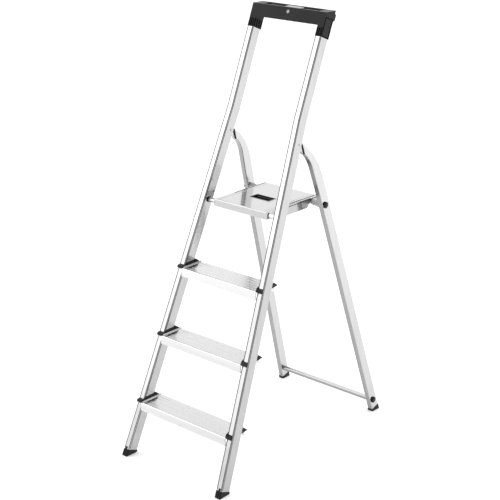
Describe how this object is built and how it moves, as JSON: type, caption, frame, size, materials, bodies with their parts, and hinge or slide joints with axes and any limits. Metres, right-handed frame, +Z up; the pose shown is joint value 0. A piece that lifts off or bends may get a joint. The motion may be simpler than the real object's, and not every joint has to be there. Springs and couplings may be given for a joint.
{
  "type": "platform step ladder",
  "caption": "Folding platform step ladder with broad treads, a hinged standing platform, a rear frame that folds behind the stiles and a guard rail topped by a tool tray.",
  "frame": {"origin": "middle of the footprint, on the floor that the four feet stand on", "axes": "+X across the ladder, +Y from the climbing side towards the rear legs, +Z up"},
  "size_m": [0.4724, 0.9033, 1.532],
  "materials": {
    "anodised_aluminium": "satin anodised",
    "polished_aluminium": "bright rolled sheet",
    "black_plastic": "fine moulded grain",
    "grey_plastic": "smooth",
    "steel": "zinc plated"
  },
  "bodies": {
    "front_frame": {"stile_left": "anodised_aluminium", "front_foot_left": "black_plastic", "hinge_pin_left": "steel", "tread_clip_1_left": "black_plastic", "tread_clip_2_left": "black_plastic", "tread_clip_3_left": "black_plastic", "stile_right": "anodised_aluminium", "front_foot_right": "black_plastic", "hinge_pin_right": "steel", "tread_clip_1_right": "black_plastic", "tread_clip_2_right": "black_plastic", "tread_clip_3_right": "black_plastic", "tread_1": "anodised_aluminium", "tread_2": "anodised_aluminium", "tread_3": "anodised_aluminium", "front_axle": "steel", "front_bush_left": "black_plastic", "front_spacer_left": "anodised_aluminium", "front_bush_right": "black_plastic", "front_spacer_right": "anodised_aluminium", "top_tray": "black_plastic", "tray_magnet": "grey_plastic", "tray_badge": "grey_plastic", "tray_hook_left": "black_plastic", "tray_hook_right": "black_plastic"},
    "rear_frame": {"rear_leg_left": "anodised_aluminium", "rear_foot_left": "black_plastic", "leg_plug_left": "black_plastic", "hinge_tongue_left": "steel", "rear_leg_right": "anodised_aluminium", "rear_foot_right": "black_plastic", "leg_plug_right": "black_plastic", "hinge_tongue_right": "steel", "rear_axle": "anodised_aluminium", "axle_cap_left": "black_plastic", "axle_cap_right": "black_plastic", "rear_bar": "anodised_aluminium", "bar_cap_left": "black_plastic", "bar_cap_right": "black_plastic", "axle_cone_left": "grey_plastic", "axle_cone_right": "grey_plastic"},
    "platform": {"platform_side_left": "polished_aluminium", "platform_side_right": "polished_aluminium", "platform_deck": "polished_aluminium", "catch_housing": "black_plastic", "release_spring": "steel"},
    "release": {"release_grip": "black_plastic", "release_rod": "steel", "release_nose": "black_plastic"}
  },
  "joints": [
    {"name": "rear_frame_fold", "type": "hinge", "parent": "front_frame", "child": "rear_frame", "pos_m": [0, 0.0325, 1.1084], "axis": [1, 0, 0], "range_deg": [-38.7, 0]},
    {"name": "platform_swing", "type": "hinge", "parent": "front_frame", "child": "platform", "pos_m": [0, -0.07, 0.877], "axis": [1, 0, 0], "range_deg": [0, 66.3]},
    {"name": "release_slide", "type": "slide", "parent": "platform", "child": "release", "axis": [0, -1, 0], "range_m": [0, 0.008], "stiffness_N_per_m": 400, "springref_m": -0.003, "deforming": ["release_spring"]}
  ],
  "couplings": [
    {"joint": "platform_swing", "follows": "rear_frame_fold", "ratio": -1.71}
  ]
}
